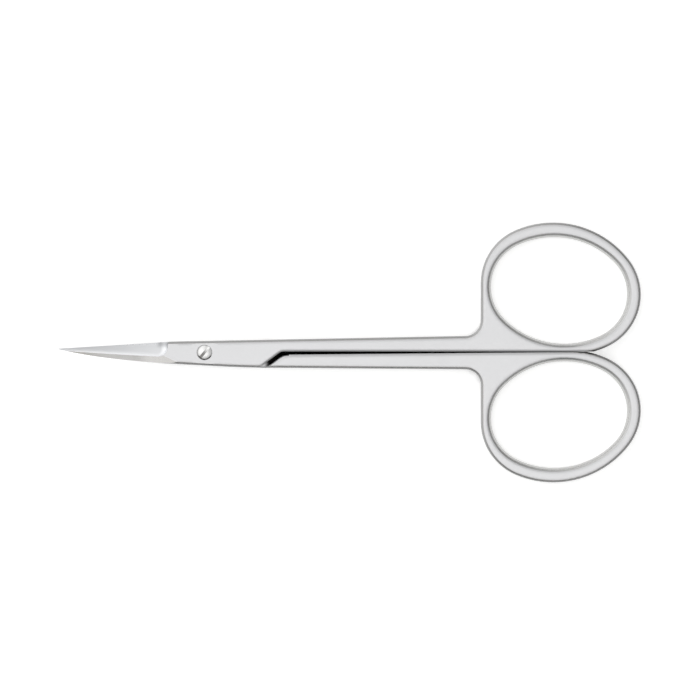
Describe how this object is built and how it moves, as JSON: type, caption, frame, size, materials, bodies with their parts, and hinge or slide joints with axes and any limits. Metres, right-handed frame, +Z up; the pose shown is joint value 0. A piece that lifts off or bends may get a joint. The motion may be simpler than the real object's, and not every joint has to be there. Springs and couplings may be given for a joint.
{
  "type": "cuticle scissors",
  "caption": "Slim steel cuticle scissors with fine hollow-ground blades that curve upwards, oval finger rings and a slotted pivot screw; the halves turn on the screw to open and close.",
  "frame": {"origin": "on the pivot axis, in the plane of the joint's lower face, which rests on the table", "axes": "+X from the pivot to the finger rings, +Y to the side of the upper half's ring, +Z up along the pivot axis, the way the blades curve"},
  "size_m": [0.1049, 0.0468, 0.0042],
  "materials": {
    "satin_steel": "satin bead-blasted flats, polished edges and hollow grind",
    "screw_steel": "polished dome"
  },
  "bodies": {
    "lower_half": {"bottom_blade_half": "satin_steel", "pivot_screw": "screw_steel"},
    "upper_half": {"top_blade_half": "satin_steel"}
  },
  "joints": [
    {"name": "pivot", "type": "hinge", "parent": "lower_half", "child": "upper_half", "pos_m": [0, 0, 0], "axis": [0, 0, 1], "range_deg": [0, 150]}
  ]
}
